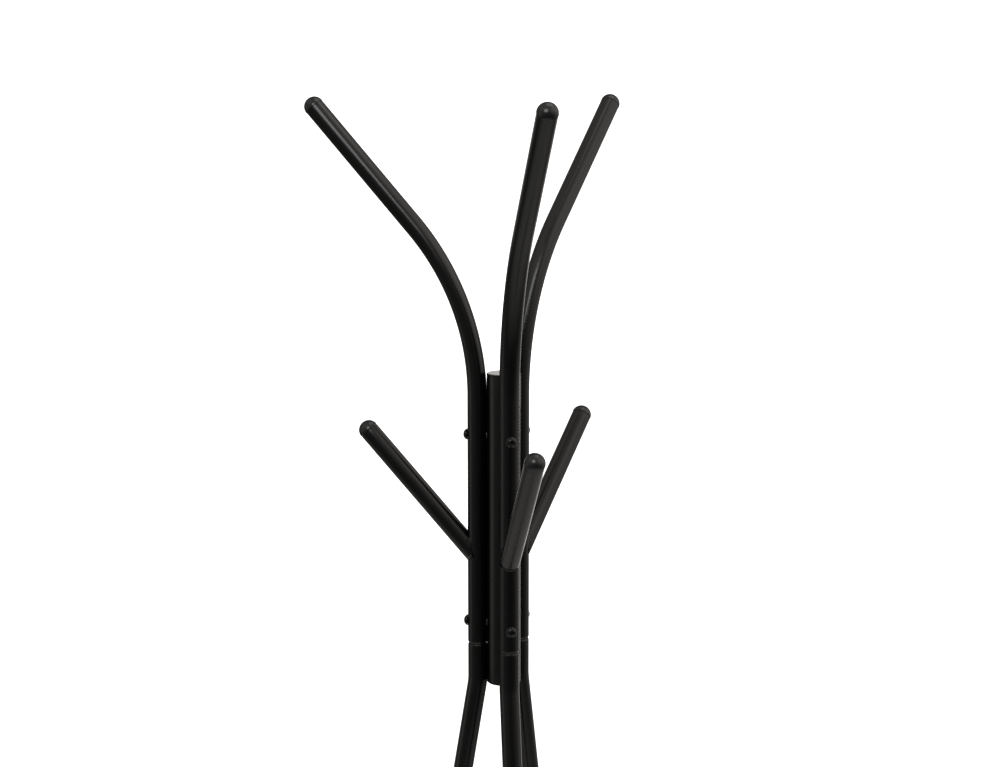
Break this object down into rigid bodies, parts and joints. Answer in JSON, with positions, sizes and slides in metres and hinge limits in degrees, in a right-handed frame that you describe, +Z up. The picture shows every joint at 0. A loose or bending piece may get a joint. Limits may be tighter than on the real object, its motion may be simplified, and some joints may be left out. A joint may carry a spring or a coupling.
{
  "type": "coat rack",
  "caption": "Free-standing coat rack: bent steel tubes bolted round a short centre post, with splayed legs, outward arms and shorter welded pegs, all ending in domed plastic caps.",
  "frame": {"origin": "on the floor, at the centre of the rack's bounding box seen from above", "axes": "+Z up along the rack's height; the XZ plane is the rack's mirror plane, with the single arm towards -X and the other two towards +X"},
  "size_m": [0.3598, 0.4638, 1.6853],
  "materials": {
    "black_paint": "satin black powder coat with a fine texture",
    "black_plastic": "moulded black plastic, soft gloss",
    "black_screw": "black coated steel screw, semi gloss",
    "zinc_steel": "bright zinc plate"
  },
  "bodies": {
    "root": {"centre_post": "black_paint", "post_top_plug": "black_plastic", "post_bottom_plug": "black_plastic", "upper_tube_left": "black_paint", "arm_cap_left": "black_plastic", "peg_tube_left": "black_paint", "peg_weld_left": "black_paint", "peg_cap_left": "black_plastic", "leg_tube_left": "black_paint", "foot_left": "black_plastic", "upper_screw_left": "black_screw", "upper_insert_left": "zinc_steel", "lower_screw_left": "black_screw", "lower_insert_left": "zinc_steel", "upper_tube_front": "black_paint", "arm_cap_front": "black_plastic", "peg_tube_front": "black_paint", "peg_weld_front": "black_paint", "peg_cap_front": "black_plastic", "leg_tube_front": "black_paint", "foot_front": "black_plastic", "upper_screw_front": "black_screw", "upper_insert_front": "zinc_steel", "lower_screw_front": "black_screw", "lower_insert_front": "zinc_steel", "upper_tube_back": "black_paint", "arm_cap_back": "black_plastic", "peg_tube_back": "black_paint", "peg_weld_back": "black_paint", "peg_cap_back": "black_plastic", "leg_tube_back": "black_paint", "foot_back": "black_plastic", "upper_screw_back": "black_screw", "upper_insert_back": "zinc_steel", "lower_screw_back": "black_screw", "lower_insert_back": "zinc_steel"}
  },
  "joints": []
}
